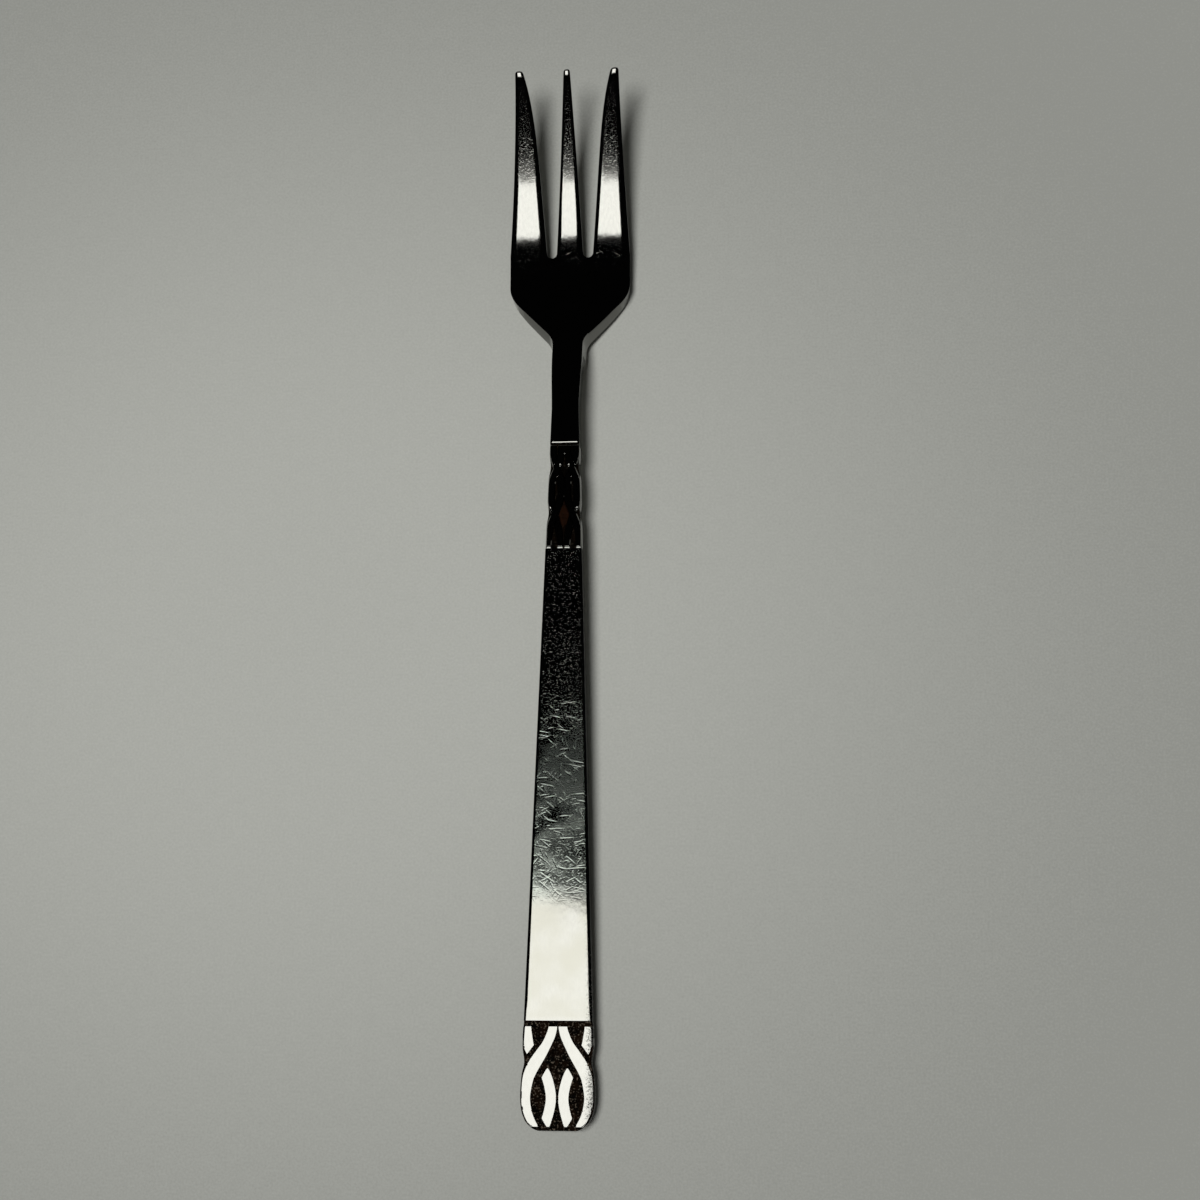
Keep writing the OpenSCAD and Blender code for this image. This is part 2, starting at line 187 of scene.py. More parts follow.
def halfWidth(y):
    y = np.asarray(y, float)
    end = np.interp((endPanelY - y) / fork["endPanel"], endOutline[:, 0], endOutline[:, 1])
    v = (neckPanelY - y) / fork["neckPanel"]
    notches = sum(1 - ease(np.abs(v - s) / fork["notchReach"]) for s in fork["notches"])
    handle = taperHalf(y) - fork["neckNotch"] * notches
    (flare, flareRun), (corner, cornerRun) = fork["flare"], fork["corner"]
    swell = ramp(y - neckY - flare, flareRun) - ramp(y - neckY - corner, cornerRun)
    swell = swell / (corner - flare + (cornerRun - flareRun) / 2)
    neck = fork["neckWidth"] + fork["neckSwell"] * ease((y - taperY) / fork["swellRun"])
    head = mix(neck, fork["headWidth"], swell) / 2
    return np.where(y < endPanelY, end, np.where(y < taperY, handle, head))


def alongTine(y):
    return np.clip((np.asarray(y, float) - slotY) / (tipY - slotY), 0, 1)


def outerEdge(y):
    return mix(fork["tipSpan"], fork["headWidth"], (1 - alongTine(y)) ** fork["outerEase"]) / 2


def innerEdge(y):
    t = alongTine(y)
    s = fork["straight"] * t + (1 - fork["straight"]) * t ** fork["point"]
    return mix(slotX + slotHalf, fork["tipSpan"] / 2 - fork["outerTip"], s)


def middleEdge(y):
    return mix(fork["middleTine"], fork["middleTip"], alongTine(y)) / 2


def betweenTines(y):  # middle of a slot
    return (middleEdge(y) + innerEdge(y)) / 2


def tineEdges(lane, y):
    if lane == 1:
        return -middleEdge(y), middleEdge(y)
    inner, outer = innerEdge(y), outerEdge(y)
    return (-outer, -inner) if lane == 0 else (inner, outer)


def outlineStretch(y, step=0.02):  # how oblique the outline runs
    grade = (halfWidth(y + step) - halfWidth(np.maximum(y - step, endY))) / (2 * step)
    return np.sqrt(1 + grade ** 2)


def edgeDistance(x, y):
    ax = np.abs(x)
    body = np.minimum((halfWidth(y) - ax) / outlineStretch(y), y - endY)
    slots = np.hypot(ax - slotX, np.minimum(y - slotY, 0)) - slotHalf
    outer = np.minimum(ax - innerEdge(y), outerEdge(y) - ax)
    tines = np.where(ax < betweenTines(y), middleEdge(y) - ax, outer)
    return np.maximum(np.where(y < slotY, np.minimum(body, slots), tines), 0)


def tineWidth(x, y):
    return np.where(np.abs(x) < betweenTines(y), 2 * middleEdge(y), outerEdge(y) - innerEdge(y))


def tineCentre(x, y):
    return np.where(np.abs(x) < betweenTines(y), 0, np.sign(x) * (innerEdge(y) + outerEdge(y)) / 2)


def edgeInset(x, y, width):
    return 1 - np.minimum(edgeDistance(x, y) / width, 1)


def topDrop(x, y, width):  # the face rolls over to a broken edge
    turn = np.arcsin(edgeInset(x, y, width) * brokenSin)
    return width / brokenSin * (1 - np.cos(turn))


def underDrop(x, y, width):  # under the palm and the tines the rounding takes the whole wall
    whole = steelThick(y) - width / brokenSin * (1 - brokenCos) - fork["rimWall"]
    depth = mix(width, whole, ease((y - shoulderY) / fork["undercutRun"] + fork["undercutLead"]))
    return depth * (1 - np.sqrt(np.maximum(1 - edgeInset(x, y, width) ** 2, 0)))


# Braids: middle lines as shares of the half width, of the panel's length from its top,
# and of the band's width
endBraid = {
    "relief": 0.36, "wall": 0.14, "overBand": 1.24, "underBand": 1.38,
    "innerGap": 0.95, "outerGap": 0.74, "groove": 0.8, "rim": 0.55,
    "tuck": (0.33, 0.337), "tuckAngle": 46,
    "over": [(0.135, 0, 0.94), (0.137, 0.066, 0.94), (0.191, 0.135, 1), (0.305, 0.222, 1.02),
             (0.46, 0.31, 1.23), (0.62, 0.397, 1.33), (0.727, 0.472, 1.27), (0.79, 0.54, 1.17),
             (0.843, 0.69, 1), (0.8, 0.81, 0.94), (0.696, 0.905, 0.84), (0.53, 1, 0.75), (0.36, 1.07, 0.7)],
    "under": [(0.85, 0), (0.849, 0.07), (0.817, 0.15), (0.74, 0.26), (0.45, 0.42), (0.305, 0.497),
              (0.205, 0.605), (0.165, 0.71), (0.205, 0.81), (0.275, 0.9), (0.36, 1)],
}
neckBraid = {
    "relief": 0.26, "wall": 0.22, "lowWall": 0.46, "band": 0.86, "gap": 0.2,
    "groove": 0.3, "turn": 0.47, "lip": (0.12, 0.30, 0.165, 2.5),
    "first": [(0.22, 0), (0.22, 0.13), (0.5, 0.265), (0.75, 0.365), (0.79, 0.47),
              (0.75, 0.58), (0.5, 0.7), (0.27, 0.84), (0.2, 0.93, 0.82), (0.195, 1, 0.72)],
    "second": [(0.78, 0), (0.76, 0.12), (0.5, 0.24), (0.25, 0.34), (0.2, 0.44),
               (0.22, 0.54), (0.5, 0.67), (0.75, 0.78), (0.81, 0.88, 0.78), (0.83, 1, 0.6)],
    "dips": [(0, 2.35), (-0.64, 3.95), (0.62, 3.95), (-1.95, 10.3), (1.85, 10.3)],
    "dip": (0.08, 0.26, 0.42),
}
panelReach = 0.5  # how far past its ends a panel is worked out


def bandLine(shares, topY, length, half=None):
    points = []
    for s, v, *swell in shares:
        y = topY - v * length
        points.append((s * (half or taperHalf(y)), y, swell[0] if swell else 1))
    return spline(points)


# Distance to a line, its side (below zero is inside) and the band's width there
def lineDistance(x, y, line):
    best = np.full(np.shape(x), 1e9)
    side = np.zeros(np.shape(x))
    swell = np.ones(np.shape(x))
    for (ax, ay, aw), (bx, by, bw) in zip(line[:-1], line[1:]):
        dx, dy = bx - ax, by - ay
        t = np.clip(((x - ax) * dx + (y - ay) * dy) / (dx * dx + dy * dy), 0, 1)
        ex, ey = x - ax - t * dx, y - ay - t * dy
        d = np.hypot(ex, ey)
        near = d < best
        best = np.where(near, d, best)
        side = np.where(near, dx * ey - dy * ex, side)
        swell = np.where(near, mix(aw, bw, t), swell)
    return best, side, swell


endOver = bandLine(endBraid["over"], endPanelY, fork["endPanel"], fork["endWidth"] / 2)
endUnder = bandLine(endBraid["under"], endPanelY, fork["endPanel"], fork["endWidth"] / 2)
neckFirst = bandLine(neckBraid["first"], neckPanelY, fork["neckPanel"])
neckSecond = bandLine(neckBraid["second"], neckPanelY, fork["neckPanel"])


# Distance inside the raised steel of a panel, below zero over its sunk ground
def endLand(x, y):
    b = endBraid
    ax = np.abs(x)
    over, side, swell = lineDistance(ax, y, endOver)
    under = lineDistance(ax, y, endUnder)[0]
    overHalf = b["overBand"] / 2 * swell
    gap = np.where(side < 0, b["innerGap"], b["outerGap"])
    tuckHigh, tuckPeak = (endPanelY - s * fork["endPanel"] for s in b["tuck"])
    slant = math.radians(b["tuckAngle"])
    slanted = (y - tuckPeak) * math.cos(slant) + ax * math.sin(slant)
    hidden = np.maximum(overHalf + gap - over, np.minimum(slanted, tuckHigh - y))
    bands = np.maximum(overHalf - over, np.minimum(b["underBand"] / 2 - under, -hidden))
    bands = np.minimum(bands, np.minimum(y - endY - b["rim"], endPanelY - b["groove"] - y))
    return np.maximum(bands, y - endPanelY)


def neckLand(x, y):
    b = neckBraid
    ax = np.abs(x)
    first, _, firstSwell = lineDistance(ax, y, neckFirst)
    second, _, secondSwell = lineDistance(ax, y, neckSecond)
    turnY = neckPanelY - b["turn"] * fork["neckPanel"]
    half = b["band"] / 2
    first, second = half * firstSwell - first, half * secondSwell - second
    bands = np.maximum(np.minimum(first, -np.minimum(second + b["gap"], turnY - y)),
                       np.minimum(second, -np.minimum(first + b["gap"], y - turnY)))
    lowEnd = (y - fieldY - b["groove"]) * b["wall"] / b["lowWall"]
    # at its top the panel starts with a shallow lip, then falls steeply
    start, run, grade, steep = b["lip"]
    below = neckPanelY - start - y
    fall = grade * np.clip(below, 0, run) + steep * np.maximum(below - run, 0)
    bands = np.minimum(bands, np.minimum(lowEnd, below - run - b["groove"]))
    return np.maximum(bands, np.maximum(fieldY - y, -fall * b["wall"] / b["relief"]))


def inEnd(y):
    return y < endPanelY + panelReach


def inNeck(y):
    return (y > fieldY - panelReach) & (y < neckPanelY + panelReach)


panels = ((inEnd, endLand, endBraid), (inNeck, neckLand, neckBraid))


def sunk(x, y):  # how far the struck panels lie below the face
    depth = np.zeros(np.shape(x))
    for inside, land, braid in panels:
        m = inside(y)
        depth[m] = braid["relief"] * np.clip(-land(x[m], y[m]) / braid["wall"], 0, 1)
    return depth


def dips(x, y):  # shallow dents where one band passes under another
    depth, wide, tall = neckBraid["dip"]
    down = neckPanelY - y
    return depth * sum(np.exp(-((x - dx) / wide) ** 2 - ((down - dy) / tall) ** 2)
                       for dx, dy in neckBraid["dips"])


def snapToBraid(x, y):  # pulls the nearest points onto the edges of the bands
    x, y = x.copy(), y.copy()
    cells = columnPlan()[2] * (sheet["panelCuts"] + 1)
    for inside, land, braid in panels:
        m = inside(y) & (edgeDistance(x, y) > bodyRound(y))
        px, py = x[m], y[m]
        d = land(px, py)
        gx = gradeOf(lambda v: land(v, py), px)
        gy = gradeOf(lambda v: land(px, v), py)
        size = np.maximum(gx * gx + gy * gy, sheet["flatGrade"])
        reach = halfWidth(py) / cells * np.abs(gx) + sheet["panelRow"] / 2 * np.abs(gy)
        for level in (0, -braid["wall"]):
            near = np.abs(d - level) < reach
            px = np.where(near, px - (d - level) * gx / size, px)
            py = np.where(near, py - (d - level) * gy / size, py)
        x[m], y[m] = px, py
    return x, y


# The blank is one sheet of cells: three lanes of columns become tines, two groups stop at the slots
sheet = {
    "edgeCells": 4, "innerCells": 6, "slotCells": 8, "panelRow": 0.10, "panelCuts": 2, "fieldRows": 24,
    "bendRow": 0.42, "tineRows": 64, "capRows": 6, "rootGap": 0.2, "bowRun": 3.0, "evenRun": 9.0,
    "maxStretch": 2.5, "panelMargin": 0.3, "underMargin": 0.5, "edgeShare": 0.9, "flatGrade": 0.2,
}
underMark = -1.0  # height of the lower layer until it is shaped


def columnPlan():
    laneCells = 2 * sheet["edgeCells"] + sheet["innerCells"]
    return laneCells, laneCells + sheet["slotCells"], 3 * laneCells + 2 * sheet["slotCells"]


def roundSteps(radius):
    n = sheet["edgeCells"]
    turns = [brokenTurn * (1 - k / n) for k in range(n + 1)]
    return [radius * (1 - math.sin(t) / brokenSin) for t in turns]


def tineColumn(lane, k, y):
    n, inner = sheet["edgeCells"], sheet["innerCells"]
    low, high = (float(e) for e in tineEdges(lane, y))
    radius = float(roundWidth((low + high) / 2, max(y, slotY)))
    steps = roundSteps(radius)
    if k <= n:
        return low + steps[k]
    if k >= n + inner:
        return high - steps[2 * n + inner - k]
    return mix(low + radius, high - radius, (k - n) / inner)


def rootColumn(c):
    laneCells, period, _ = columnPlan()
    lane, k = c // period, c % period
    if k <= laneCells:
        return tineColumn(lane, k, slotY)
    turn = math.pi * (k - laneCells) / sheet["slotCells"]
    return (2 * lane - 1) * slotX - slotHalf * math.cos(turn)


def sheetRows():
    def evenly(low, high, step):
        n = max(1, round((high - low) / step))
        return [mix(low, high, i / n) for i in range(n)]
    rows = [endY + s for s in roundSteps(fork["endRound"])[:-1]]
    rows += evenly(endY + fork["endRound"], endPanelY, sheet["panelRow"])
    rows += evenly(endPanelY, fieldY, fork["field"] / sheet["fieldRows"])
    rows += evenly(fieldY, neckPanelY, sheet["panelRow"])
    behind = sorted(roundSteps(fork["tineRound"])[1:], reverse=True)
    rows += evenly(neckPanelY, slotY - behind[0] - sheet["rootGap"], sheet["bendRow"])
    rows += [slotY - s for s in behind]
    rootRow = len(rows)
    rows += evenly(slotY, tipY - fork["tipCap"], (tipY - slotY) / sheet["tineRows"])
    n = sheet["capRows"]
    rows += [tipY - fork["tipCap"] * (1 - math.sin(math.pi / 2 * i / n)) for i in range(n + 1)]
    return rows, rootRow


def flatBlank():
    laneCells, period, columns = columnPlan()
    rows, rootRow = sheetRows()
    roots = [rootColumn(c) for c in range(columns + 1)]
    n = sheet["edgeCells"]
    last = len(rows) - 1
    bm = bmesh.new()
    bmesh.ops.create_grid(bm, x_segments=columns, y_segments=last, size=1)
    place = {v: (round((v.co.x + 1) / 2 * columns), round((v.co.y + 1) / 2 * last)) for v in bm.verts}
    gaps = [f for f in bm.faces if min(place[v][1] for v in f.verts) >= rootRow
            and min(place[v][0] for v in f.verts) % period >= laneCells]
    bmesh.ops.delete(bm, geom=gaps, context="FACES")
    behind = {}
    for j, y in enumerate(rows[:rootRow]):
        stretch = min(float(outlineStretch(y)), sheet["maxStretch"])
        even = float(ease((slotY - y) / sheet["evenRun"]))
        behind[j] = (float(halfWidth(y)), roundSteps(float(roundWidth(0, y))), stretch, even)
    for v in bm.verts:
        c, j = place[v]
        y = rows[j]
        inSlot = c % period > laneCells
        if j < rootRow:
            half, steps, stretch, even = behind[j]
            m = min(c, columns - c)
            if m < n:
                x = math.copysign(half - steps[m] * stretch, c - columns / 2)
            else:
                share = mix(roots[c] / roots[columns - n], 2 * (c - n) / (columns - 2 * n) - 1, even)
                x = share * (half - steps[n] * stretch)
        else:
            x = roots[c] if inSlot else tineColumn(c // period, c % period, y)
        if inSlot and j <= rootRow:
            bow = math.sqrt(max(0, slotHalf ** 2 - (abs(roots[c]) - slotX) ** 2))
            y -= bow * float(1 - ease((slotY - y) / sheet["bowRun"]))
        v.co = (x, y, 0)
    return bm


def addLower(bm):
    made = bmesh.ops.extrude_face_region(bm, geom=bm.faces[:])
    for g in made["geom"]:
        if isinstance(g, bmesh.types.BMVert):
            g.co.z = underMark
    bmesh.ops.recalc_face_normals(bm, faces=bm.faces[:])


def takePoints(bm, name):
    mesh = bpy.data.meshes.new(name)
    bm.to_mesh(mesh)
    bm.free()
    points = np.empty(len(mesh.vertices) * 3)
    mesh.vertices.foreach_get("co", points)
    points = points.reshape(-1, 3)
    return mesh, points[:, 0].copy(), points[:, 1].copy(), points[:, 2] > underMark / 2


def setPoints(mesh, x, y, z):
    mesh.vertices.foreach_set("co", (np.column_stack([x, y, z]) * mm).ravel())
    mesh.update()


def pressBlank():
    bm = flatBlank()
    addLower(bm)

    def inFrom(v):  # how far inside the rounded edge
        return float(halfWidth(v.co.y)) - abs(v.co.x) - sheet["edgeShare"] * float(bodyRound(v.co.y))

    def inPanel(y):
        margin = sheet["panelMargin"]
        return y < endPanelY + margin or fieldY - margin < y < neckPanelY + margin
    # finer columns where the braids are struck
    crossing = [e for e in bm.edges if all(v.co.z > underMark / 2 for v in e.verts)
                and abs(e.verts[0].co.y - e.verts[1].co.y) < 1e-6
                and inPanel(e.verts[0].co.y) and min(inFrom(v) for v in e.verts) > 0]
    bmesh.ops.subdivide_edges(bm, edges=crossing, cuts=sheet["panelCuts"])
    # the flat underside of the handle needs no cells
    under = [f for f in bm.faces
             if all(v.co.z < underMark / 2 and endY + sheet["underMargin"] < v.co.y < neckPanelY
                    and inFrom(v) > 0 for v in f.verts)]
    bmesh.ops.dissolve_faces(bm, faces=under, use_verts=False)
    mesh, x, y, top = takePoints(bm, "steelFork")
    flatY = y.copy()
    floor = cadBox[0][2] / mm
    x[top], y[top] = snapToBraid(x[top], y[top])
    face, thick, rounding = faceZ(y), steelThick(y), roundWidth(x, y)
    roll = np.maximum(y - tipY + fork["tipRoll"], 0) ** 2 / (2 * fork["rollRadius"])
    z = np.where(top, face - topDrop(x, y, rounding) - roll,
                 face - thick + underDrop(x, y, rounding))
    z[top] -= sunk(x[top], y[top]) + wave(x[top], y[top]) + dips(x[top], y[top])
    # the walls of neck and shoulders spread towards the table
    run = fork["draftRun"]
    spread = fork["draft"] * ease((y - neckY) / run + fork["draftLead"])
    spread = spread * ease((shoulderY - fork["draftStop"] - y) / run) * edgeInset(x, y, rounding)
    grade = gradeOf(halfWidth, y)
    spread = np.where(top, 0, spread / np.sqrt(1 + grade ** 2))
    x = x + np.sign(x) * spread
    y = np.where(top, y, y + lean(y) - spread * grade)
    # tips close in to a blunt point
    centre = tineCentre(x, flatY)
    middle = faceZ(flatY) - steelThick(flatY) / 2

    def closing(length):
        cap = np.clip((flatY - (tipY - length)) / length, 0, 1)
        return np.maximum(np.sqrt(1 - cap ** 2), fork["tipBlunt"])
    onTine = flatY > slotY
    x = np.where(onTine, centre + (x - centre) * closing(fork["tipCap"]), x)
    z = np.where(onTine, middle + (z - middle) * closing(fork["tipFront"]), z)
    setPoints(mesh, x, y, np.maximum(z, floor))
    return mesh


def addPiece(name, mesh, sharpAngle):
    mesh.polygons.foreach_set("use_smooth", [True] * len(mesh.polygons))
    mesh.set_sharp_from_angle(angle=math.radians(sharpAngle))
    piece = bpy.data.objects.new(name, mesh)
    scene.collection.objects.link(piece)
    return piece


steelFork = addPiece("steelFork", pressBlank(), fork["sharp"])
print("steel blank pressed:", len(steelFork.data.polygons), "faces")


# Dark fill in the sunk ground of a panel
fills = {
    "end": {"low": endY + 0.04, "high": endPanelY, "columns": 110, "rows": 150, "drop": 0.12,
            "grain": 0.035, "pitch": 0.34},
    "neck": {"low": fieldY, "high": neckPanelY, "columns": 64, "rows": 150, "drop": 0.15,
             "grain": 0.02, "pitch": 0.3},
    "inset": 0.03, "bite": 0.02, "slice": 3.7, "sharp": 50,
}


def fillPanel(name, size, land, braid):
    bm = bmesh.new()
    bmesh.ops.create_grid(bm, x_segments=size["columns"], y_segments=size["rows"], size=1)
    for v in bm.verts:
        y = mix(size["low"], size["high"], (v.co.y + 1) / 2)
        v.co = (v.co.x * (float(halfWidth(y)) - fills["inset"]), y, 0)
    centres = np.array([f.calc_center_median()[:2] for f in bm.faces])
    covered = land(centres[:, 0], centres[:, 1]) > fills["bite"]
    bmesh.ops.delete(bm, geom=[f for f, c in zip(bm.faces[:], covered) if c], context="FACES")
    addLower(bm)
    mesh, x, y, top = takePoints(bm, name)
    grain = np.array([noise.noise(Vector((a, b, fills["slice"])) / size["pitch"]) for a, b in zip(x, y)])
    face = faceZ(y) - topDrop(x, y, bodyRound(y))
    z = np.where(top, face - size["drop"] + size["grain"] * grain, face - braid["relief"] - fills["bite"])
    setPoints(mesh, x, y, z)
    return addPiece(name, mesh, fills["sharp"])


endEnamel = fillPanel("endEnamel", fills["end"], endLand, endBraid)
neckEnamel = fillPanel("neckEnamel", fills["neck"], neckLand, neckBraid)
print("panels filled:", len(endEnamel.data.polygons), len(neckEnamel.data.polygons), "faces")


class Wire:  # a socket that takes sums
    def __init__(self, tree, socket=None):
        self.tree = tree
        self.socket = socket

    def node(self, kind, settings=None, sockets=None, output=0):
        made = self.tree.nodes.new(kind)
        for name, value in (settings or {}).items():
            setattr(made, name, value)
        for name, value in (sockets or {}).items():
            if isinstance(value, Wire):
                self.tree.links.new(value.socket, made.inputs[name])
            else:
                made.inputs[name].default_value = value
        return Wire(self.tree, made.outputs[output] if made.outputs else None)

    def maths(self, operation, a, b=0.0):
        return self.node("ShaderNodeMath", {"operation": operation}, {0: a, 1: b})

    def __add__(self, other):
        return self.maths("ADD", self, other)

    def __radd__(self, other):
        return self.maths("ADD", other, self)

    def __sub__(self, other):
        return self.maths("SUBTRACT", self, other)

    def __rsub__(self, other):
        return self.maths("SUBTRACT", other, self)

    def __mul__(self, other):
        return self.maths("MULTIPLY", self, other)

    def __rmul__(self, other):
        return self.maths("MULTIPLY", other, self)

    def __truediv__(self, other):
        return self.maths("DIVIDE", self, other)

    def __rtruediv__(self, other):
        return self.maths("DIVIDE", other, self)

    def step(self, low, high, start=0.0, end=1.0):
        return self.node("ShaderNodeMapRange", {"interpolation_type": "SMOOTHSTEP"},
                         {"Value": self, "From Min": low, "From Max": high, "To Min": start, "To Max": end})

    def fade(self, low, high):
        return self.step(low, high, 1.0, 0.0)

    def blend(self, a, b):
        return self.node("ShaderNodeMix", {"data_type": "RGBA"}, {0: self, 6: a, 7: b}, 2)

    def split(self):
        return [self.node("ShaderNodeSeparateXYZ", None, {0: self}, i) for i in range(3)]

    def noise(self, scale, detail=2.0):
        return self.node("ShaderNodeTexNoise", None, {"Vector": self, "Scale": scale, "Detail": detail})

    def spots(self, scale, low, high, detail=2.0):
        return self.noise(scale, detail).step(low, high)

    def turned(self, angle, pitch):  # pattern turned by an angle, with a pitch along each axis
        return self.node("ShaderNodeMapping", {"vector_type": "TEXTURE"},
                         {"Vector": self, "Rotation": (0, 0, math.radians(angle)), "Scale": pitch})


def newFinish(name):
    material = bpy.data.materials.new(name)
    material.use_nodes = True
    material.node_tree.nodes.clear()
    start = Wire(material.node_tree)
    return material, start, start.node("ShaderNodeTexCoord", output="Object")


# Places along and across the fork are in metres. A set of spots is a noise scale and the two levels
# between which it fades in. A scratch is an angle from the fork's width, then the length and width
# in mm of the cells that hold one each.
steelLook = {
    "tone": (0.80, 0.795, 0.775, 1), "dull": (0.76, 0.755, 0.735, 1), "warm": (0.71, 0.70, 0.645, 1),
    # sides: the dark colour given to steep walls, a painted shade
    "sides": (0.20, 0.198, 0.19, 1), "cool": (0.73, 0.80, 0.75, 1),
    "rough": 0.045, "haze": 0.08, "relief": 0.00001, "steep": (0.66, 0.80),
    "worn": (-0.0465, -0.0415, -0.026, -0.004), "dots": (-0.026, -0.014, 0.0045, 0.0052),
    "field": (-0.0615, -0.0605, -0.047, -0.042), "root": (0.0468, 0.0482, 0.0495, 0.0505),
    "tips": (0.0590, 0.0630, 0.0738, 0.0745), "deeper": (-0.034, -0.014, 0.6, 1.0),
    "leftMore": (-0.004, 0.004, 1.25, 0.75),
    "clusters": (130, 0.40, 0.60, 3.0), "specks": (4200, 0.56, 0.72), "pits": (3300, 0.53, 0.72),
    "scuffs": (5200, 0.46, 0.66), "scuffSide": (0.0032, 0.0047), "scuffRim": (0.0037, 0.0050),
    "scuffEnd": (-0.048, -0.044), "warmSpots": (150, 0.25, 0.6),
    "grain": (0.35, 0.9), "grainTone": (0.3, 0.7), "grainDepth": 0.09, "uneven": (420, 0.4),
    "stroke": (0.02, 0.16), "patches": (300, 40, 0.46, 0.54), "shift": (0.031, 0.017),
    "scratchShare": (0.8, 0.2), "speckShare": (0.4, 0.4), "pitShare": (0.24, 0.12), "rimShare": 0.6,
    "scratches": ((4, 10.0, 1.0), (-12, 8.0, 0.9), (27, 8.0, 0.9), (-40, 8.0, 0.9),
                  (55, 7.0, 0.9), (83, 9.0, 1.0), (9, 6.0, 0.8), (-66, 6.0, 0.8)),
    "cross": ((-34, 5.0, 0.7), (22, 5.0, 0.7)), "crossDepth": 0.2,
    "roughens": {"scratches": 0.10, "cross": 0.06, "dots": 0.05, "tips": 0.04, "scuff": 0.2},
}


def steelFinish():
    look = steelLook
    material, start, place = newFinish("scratchedSteel")
    x, along, _ = place.split()
    facing = start.node("ShaderNodeTexCoord", output="Normal")
    level = start.maths("ABSOLUTE", facing.split()[2])

    def stretch(a, b, c, d):
        return along.step(a, b) * along.fade(c, d)

    def scratch(source, angle, length, width):
        cell = source.turned(angle, (length * mm, width * mm, 1))
        near = start.node("ShaderNodeTexVoronoi", {"voronoi_dimensions": "2D"}, {"Vector": cell, "Scale": 1.0})
        return near.fade(*look["stroke"])
    # the grip is worn most, then the tines; the palm and the handle's end stay bright
    grip, tips = stretch(*look["worn"]), stretch(*look["tips"])
    cluster = place.spots(*look["clusters"])
    scratches = 0.0
    scale, scaleStep, low, high = look["patches"]
    for i, (angle, length, width) in enumerate(look["scratches"]):
        shift = [i * d for d in look["shift"]] + [0]
        moved = start.node("ShaderNodeVectorMath", {"operation": "ADD"}, {0: place, 1: shift})
        patch = moved.spots(scale + scaleStep * i, low, high, 1.0)
        scratches = scratch(moved, angle, length, width) * patch + scratches
    most, least = look["scratchShare"]
    scratches = scratches * grip * (cluster * most + least) * x.step(*look["leftMore"])
    first, second = look["cross"]
    cross = (scratch(place, *first) + scratch(place, *second)) * stretch(*look["root"])
    most, least = look["speckShare"]
    dots = place.spots(*look["specks"]) * stretch(*look["dots"]) * (cluster * most + least)
    onTips, onGrip = look["pitShare"]
    dots = dots + place.spots(*look["pits"]) * (tips * onTips + grip * onGrip)
    # the right edge of the handle's end is rubbed dull
    scuff = place.spots(*look["scuffs"]) * x.step(*look["scuffSide"])
    scuff = (scuff + x.step(*look["scuffRim"]) * look["rimShare"]) * along.fade(*look["scuffEnd"])
    grain = place.turned(0, [*(d * mm for d in look["grain"]), 1]).noise(1.0)
    scale, depth = look["uneven"]
    height = place.noise(scale) * depth + grain * look["grainDepth"] - dots - cross * look["crossDepth"]
    height = height - scratches * along.step(*look["deeper"])
    bump = start.node("ShaderNodeBump", None, {"Strength": 1.0, "Distance": look["relief"], "Height": height})
    more = look["roughens"]
    rough = look["rough"] + cluster * grip * look["haze"]
    rough = (rough + scratches * more["scratches"] + cross * more["cross"]
             + dots * more["dots"] + tips * more["tips"] + scuff * more["scuff"])
    tone = grain.step(*look["grainTone"]).blend(look["dull"], look["tone"])
    # warmer, duller spots on the lower field, only where it reflects the window
    warmSpot = place.spots(*look["warmSpots"]) * stretch(*look["field"])
    tone = warmSpot.blend(tone, look["warm"])
    tone = grip.blend(tone, look["cool"])
    # steep walls take the dark sides colour: painted shade, where they would reflect the shadowed table
    tone = level.step(*look["steep"]).blend(look["sides"], tone)
    shader = start.node("ShaderNodeBsdfPrincipled", None,
                        {"Base Color": tone, "Metallic": 1.0, "Roughness": rough, "Normal": bump})
    start.node("ShaderNodeOutputMaterial", None, {"Surface": shader})
    return material


enamelLook = {
    "dark": (0.0008, 0.0006, 0.0004, 1), "brown": (0.006, 0.0028, 0.0012, 1),
    "wearAndGlint": (0.080, 0.064, 0.047, 1), "rust": (0.009, 0.0034, 0.0016, 1),
    "rough": 0.30, "duller": 0.2, "shine": 0.10, "relief": 0.00005, "pebble": 3700, "flecks": (0.56, 0.70),
    "neckFrom": (0.0, 0.004), "calm": 0.6, "rustY": (0.0070, 0.0085, 0.0115, 0.0130),
    "rustX": (0.0006, 0.0012), "rustSpots": (1400, 0.3, 0.6), "brownSpots": (700, 0.4, 0.68, 3.0),
    "dullSpots": (1200, 0.35, 0.7),
}


